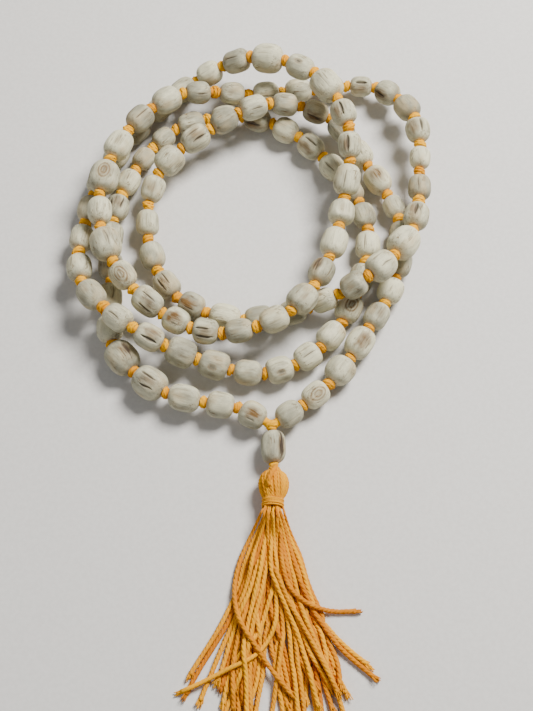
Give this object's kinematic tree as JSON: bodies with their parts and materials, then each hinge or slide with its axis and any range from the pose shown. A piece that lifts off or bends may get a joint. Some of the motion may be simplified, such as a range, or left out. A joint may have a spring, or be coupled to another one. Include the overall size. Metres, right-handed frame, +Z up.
{
  "type": "mala prayer beads",
  "caption": "Knotted wooden prayer bead string lying in loose turns, with a guru bead and a cotton tassel.",
  "frame": {"origin": "middle of the footprint, on the surface that the mala lies on", "axes": "+Z up from that surface; the tassel points along -Y, away from the guru bead; +X to the right as seen with the tassel towards the viewer"},
  "size_m": [0.1014, 0.191, 0.0214],
  "materials": {
    "tulsi_wood": "matt, unpolished, with grain and drying cracks",
    "guru_wood": "matt, unpolished, with a dark streak",
    "stringing_cotton": "matt twisted cotton, knotted",
    "tassel_cotton": "matt twisted cotton strands"
  },
  "bodies": {
    "string": {"joined_run_1": "tulsi_wood", "joined_run_2": "tulsi_wood", "joined_run_3": "tulsi_wood", "joined_run_4": "tulsi_wood", "joined_run_5": "tulsi_wood", "joined_run_6": "tulsi_wood", "joined_run_7": "tulsi_wood", "joined_run_8": "tulsi_wood", "knotted_cord_1": "stringing_cotton", "knotted_cord_2": "stringing_cotton", "knotted_cord_3": "stringing_cotton", "knotted_cord_4": "stringing_cotton"},
    "bead_013_body": {"bead_013": "tulsi_wood"},
    "bead_014_body": {"bead_014": "tulsi_wood"},
    "bead_015_body": {"bead_015": "tulsi_wood"},
    "bead_016_body": {"bead_016": "tulsi_wood"},
    "bead_017_body": {"bead_017": "tulsi_wood"},
    "bead_018_body": {"bead_018": "tulsi_wood"},
    "bead_027_body": {"bead_027": "tulsi_wood"},
    "bead_028_body": {"bead_028": "tulsi_wood"},
    "bead_029_body": {"bead_029": "tulsi_wood"},
    "bead_030_body": {"bead_030": "tulsi_wood"},
    "bead_031_body": {"bead_031": "tulsi_wood"},
    "bead_032_body": {"bead_032": "tulsi_wood"},
    "bead_033_body": {"bead_033": "tulsi_wood"},
    "bead_034_body": {"bead_034": "tulsi_wood"},
    "bead_043_body": {"bead_043": "tulsi_wood"},
    "bead_044_body": {"bead_044": "tulsi_wood"},
    "bead_045_body": {"bead_045": "tulsi_wood"},
    "bead_046_body": {"bead_046": "tulsi_wood"},
    "bead_047_body": {"bead_047": "tulsi_wood"},
    "bead_048_body": {"bead_048": "tulsi_wood"},
    "bead_049_body": {"bead_049": "tulsi_wood"},
    "bead_050_body": {"bead_050": "tulsi_wood"},
    "bead_051_body": {"bead_051": "tulsi_wood"},
    "bead_052_body": {"bead_052": "tulsi_wood"},
    "bead_053_body": {"bead_053": "tulsi_wood"},
    "bead_054_body": {"bead_054": "tulsi_wood"},
    "bead_055_body": {"bead_055": "tulsi_wood"},
    "bead_056_body": {"bead_056": "tulsi_wood"},
    "bead_057_body": {"bead_057": "tulsi_wood"},
    "bead_058_body": {"bead_058": "tulsi_wood"},
    "bead_059_body": {"bead_059": "tulsi_wood"},
    "bead_060_body": {"bead_060": "tulsi_wood"},
    "bead_061_body": {"bead_061": "tulsi_wood"},
    "bead_062_body": {"bead_062": "tulsi_wood"},
    "bead_063_body": {"bead_063": "tulsi_wood"},
    "bead_064_body": {"bead_064": "tulsi_wood"},
    "bead_065_body": {"bead_065": "tulsi_wood"},
    "bead_066_body": {"bead_066": "tulsi_wood"},
    "bead_075_body": {"bead_075": "tulsi_wood"},
    "bead_076_body": {"bead_076": "tulsi_wood"},
    "bead_077_body": {"bead_077": "tulsi_wood"},
    "bead_078_body": {"bead_078": "tulsi_wood"},
    "guru_cord_body": {"guru_cord": "stringing_cotton"},
    "guru_bead_body": {"guru_bead": "guru_wood"},
    "tassel_neck_body": {"tassel_neck": "tassel_cotton"},
    "tassel_body": {"tassel_head": "tassel_cotton", "tassel_binding": "tassel_cotton", "tassel_skirt": "tassel_cotton"}
  },
  "joints": [
    {"name": "guru_swing", "type": "hinge", "parent": "string", "child": "guru_cord_body", "pos_m": [0.00543, -0.01752, 0.00416], "axis": [0, 0, 1], "range_deg": [-12, 12]},
    {"name": "guru_spin", "type": "hinge", "parent": "guru_cord_body", "child": "guru_bead_body", "pos_m": [0.00568, -0.02352, 0.00406], "axis": [0.0416, -0.999, -0.0167], "continuous": true},
    {"name": "tassel_swing", "type": "hinge", "parent": "guru_cord_body", "child": "tassel_neck_body", "pos_m": [0.00593, -0.02952, 0.00396], "axis": [0, 0, 1], "range_deg": [-35, 35]},
    {"name": "tassel_lift", "type": "hinge", "parent": "tassel_neck_body", "child": "tassel_body", "pos_m": [0.00593, -0.02952, 0.00396], "axis": [-1, 0, 0], "range_deg": [0, 45]},
    {"name": "bead_013_spin", "type": "hinge", "parent": "string", "child": "bead_013_body", "pos_m": [0.01819, 0.07708, 0.00707], "axis": [-0.9209, 0.2402, 0.307], "continuous": true},
    {"name": "bead_014_spin", "type": "hinge", "parent": "string", "child": "bead_014_body", "pos_m": [0.00917, 0.07786, 0.00983], "axis": [-0.9601, -0.0768, 0.2688], "continuous": true},
    {"name": "bead_015_spin", "type": "hinge", "parent": "string", "child": "bead_015_body", "pos_m": [0.00021, 0.07579, 0.0113], "axis": [-0.9285, -0.37, 0.0308], "continuous": true},
    {"name": "bead_016_spin", "type": "hinge", "parent": "string", "child": "bead_016_body", "pos_m": [-0.00803, 0.07155, 0.01106], "axis": [-0.8402, -0.5361, -0.0817], "continuous": true},
    {"name": "bead_017_spin", "type": "hinge", "parent": "string", "child": "bead_017_body", "pos_m": [-0.01608, 0.06623, 0.01001], "axis": [-0.8179, -0.56, -0.1321], "continuous": true},
    {"name": "bead_018_spin", "type": "hinge", "parent": "string", "child": "bead_018_body", "pos_m": [-0.02332, 0.06001, 0.00852], "axis": [-0.666, -0.7248, -0.1763], "continuous": true},
    {"name": "bead_027_spin", "type": "hinge", "parent": "string", "child": "bead_027_body", "pos_m": [0.01951, 0.01725, 0.00666], "axis": [0.8418, 0.1599, 0.5155], "continuous": true},
    {"name": "bead_028_spin", "type": "hinge", "parent": "string", "child": "bead_028_body", "pos_m": [0.02724, 0.0195, 0.0114], "axis": [0.807, 0.3221, 0.495], "continuous": true},
    {"name": "bead_029_spin", "type": "hinge", "parent": "string", "child": "bead_029_body", "pos_m": [0.03476, 0.02454, 0.01328], "axis": [0.7299, 0.6798, -0.0721], "continuous": true},
    {"name": "bead_030_spin", "type": "hinge", "parent": "string", "child": "bead_030_body", "pos_m": [0.04121, 0.03233, 0.01175], "axis": [0.5358, 0.8169, -0.2137], "continuous": true},
    {"name": "bead_031_spin", "type": "hinge", "parent": "string", "child": "bead_031_body", "pos_m": [0.04517, 0.04169, 0.00972], "axis": [0.2275, 0.9583, -0.1729], "continuous": true},
    {"name": "bead_032_spin", "type": "hinge", "parent": "string", "child": "bead_032_body", "pos_m": [0.04662, 0.05168, 0.00824], "axis": [0.0642, 0.9908, -0.1193], "continuous": true},
    {"name": "bead_033_spin", "type": "hinge", "parent": "string", "child": "bead_033_body", "pos_m": [0.04725, 0.06132, 0.00811], "axis": [0.0644, 0.9937, 0.0916], "continuous": true},
    {"name": "bead_034_spin", "type": "hinge", "parent": "string", "child": "bead_034_body", "pos_m": [0.04695, 0.07005, 0.00885], "axis": [-0.1296, 0.9885, 0.0777], "continuous": true},
    {"name": "bead_043_spin", "type": "hinge", "parent": "string", "child": "bead_043_body", "pos_m": [-0.02487, 0.07846, 0.01071], "axis": [-0.8146, -0.5705, 0.1046], "continuous": true},
    {"name": "bead_044_spin", "type": "hinge", "parent": "string", "child": "bead_044_body", "pos_m": [-0.03206, 0.07164, 0.01144], "axis": [-0.6341, -0.7719, 0.0459], "continuous": true},
    {"name": "bead_045_spin", "type": "hinge", "parent": "string", "child": "bead_045_body", "pos_m": [-0.03756, 0.06262, 0.01184], "axis": [-0.4221, -0.906, 0.0309], "continuous": true},
    {"name": "bead_046_spin", "type": "hinge", "parent": "string", "child": "bead_046_body", "pos_m": [-0.04098, 0.05211, 0.01209], "axis": [-0.2068, -0.9783, 0.014], "continuous": true},
    {"name": "bead_047_spin", "type": "hinge", "parent": "string", "child": "bead_047_body", "pos_m": [-0.04155, 0.04129, 0.01233], "axis": [0.09, -0.9955, 0.029], "continuous": true},
    {"name": "bead_048_spin", "type": "hinge", "parent": "string", "child": "bead_048_body", "pos_m": [-0.03923, 0.03108, 0.01231], "axis": [0.3394, -0.9402, -0.03], "continuous": true},
    {"name": "bead_049_spin", "type": "hinge", "parent": "string", "child": "bead_049_body", "pos_m": [-0.03437, 0.02243, 0.01097], "axis": [0.603, -0.7654, -0.2249], "continuous": true},
    {"name": "bead_050_spin", "type": "hinge", "parent": "string", "child": "bead_050_body", "pos_m": [-0.02759, 0.01574, 0.00872], "axis": [0.7663, -0.5996, -0.2309], "continuous": true},
    {"name": "bead_051_spin", "type": "hinge", "parent": "string", "child": "bead_051_body", "pos_m": [-0.01999, 0.01079, 0.00736], "axis": [0.8793, -0.4718, -0.0643], "continuous": true},
    {"name": "bead_052_spin", "type": "hinge", "parent": "string", "child": "bead_052_body", "pos_m": [-0.01195, 0.00785, 0.0074], "axis": [0.9734, -0.2196, 0.0659], "continuous": true},
    {"name": "bead_053_spin", "type": "hinge", "parent": "string", "child": "bead_053_body", "pos_m": [-0.00301, 0.00741, 0.00891], "axis": [0.9674, 0.0819, 0.2395], "continuous": true},
    {"name": "bead_054_spin", "type": "hinge", "parent": "string", "child": "bead_054_body", "pos_m": [0.00619, 0.00972, 0.01115], "axis": [0.9023, 0.3736, 0.2153], "continuous": true},
    {"name": "bead_055_spin", "type": "hinge", "parent": "string", "child": "bead_055_body", "pos_m": [0.01365, 0.01546, 0.0118], "axis": [0.6263, 0.7764, -0.0703], "continuous": true},
    {"name": "bead_056_spin", "type": "hinge", "parent": "string", "child": "bead_056_body", "pos_m": [0.01884, 0.02398, 0.01079], "axis": [0.4184, 0.8995, -0.1255], "continuous": true},
    {"name": "bead_057_spin", "type": "hinge", "parent": "string", "child": "bead_057_body", "pos_m": [0.0224, 0.03339, 0.00974], "axis": [0.2846, 0.9551, -0.0822], "continuous": true},
    {"name": "bead_058_spin", "type": "hinge", "parent": "string", "child": "bead_058_body", "pos_m": [0.02462, 0.04287, 0.00951], "axis": [0.1737, 0.9843, 0.0322], "continuous": true},
    {"name": "bead_059_spin", "type": "hinge", "parent": "string", "child": "bead_059_body", "pos_m": [0.02626, 0.05219, 0.01147], "axis": [0.1621, 0.9216, 0.3527], "continuous": true},
    {"name": "bead_060_spin", "type": "hinge", "parent": "string", "child": "bead_060_body", "pos_m": [0.02698, 0.06118, 0.01496], "axis": [-0.0098, 0.93, 0.3675], "continuous": true},
    {"name": "bead_061_spin", "type": "hinge", "parent": "string", "child": "bead_061_body", "pos_m": [0.02523, 0.07051, 0.01701], "axis": [-0.3202, 0.9451, 0.0646], "continuous": true},
    {"name": "bead_062_spin", "type": "hinge", "parent": "string", "child": "bead_062_body", "pos_m": [0.02066, 0.07949, 0.01697], "axis": [-0.5634, 0.8237, -0.0643], "continuous": true},
    {"name": "bead_063_spin", "type": "hinge", "parent": "string", "child": "bead_063_body", "pos_m": [0.01328, 0.0864, 0.01602], "axis": [-0.8412, 0.528, -0.1163], "continuous": true},
    {"name": "bead_064_spin", "type": "hinge", "parent": "string", "child": "bead_064_body", "pos_m": [0.004, 0.09058, 0.01424], "axis": [-0.9328, 0.2859, -0.2197], "continuous": true},
    {"name": "bead_065_spin", "type": "hinge", "parent": "string", "child": "bead_065_body", "pos_m": [-0.00501, 0.09201, 0.0108], "axis": [-0.8828, 0.0067, -0.4697], "continuous": true},
    {"name": "bead_066_spin", "type": "hinge", "parent": "string", "child": "bead_066_body", "pos_m": [-0.01299, 0.09066, 0.00656], "axis": [-0.8477, -0.2814, -0.4496], "continuous": true},
    {"name": "bead_075_spin", "type": "hinge", "parent": "string", "child": "bead_075_body", "pos_m": [-0.04266, 0.01721, 0.01005], "axis": [0.6152, -0.772, 0.1597], "continuous": true},
    {"name": "bead_076_spin", "type": "hinge", "parent": "string", "child": "bead_076_body", "pos_m": [-0.03512, 0.01, 0.01101], "axis": [0.8011, -0.5979, 0.0295], "continuous": true},
    {"name": "bead_077_spin", "type": "hinge", "parent": "string", "child": "bead_077_body", "pos_m": [-0.02677, 0.00503, 0.00953], "axis": [0.8607, -0.3903, -0.3269], "continuous": true},
    {"name": "bead_078_spin", "type": "hinge", "parent": "string", "child": "bead_078_body", "pos_m": [-0.01854, 0.00208, 0.00628], "axis": [0.8969, -0.2491, -0.3654], "continuous": true}
  ]
}
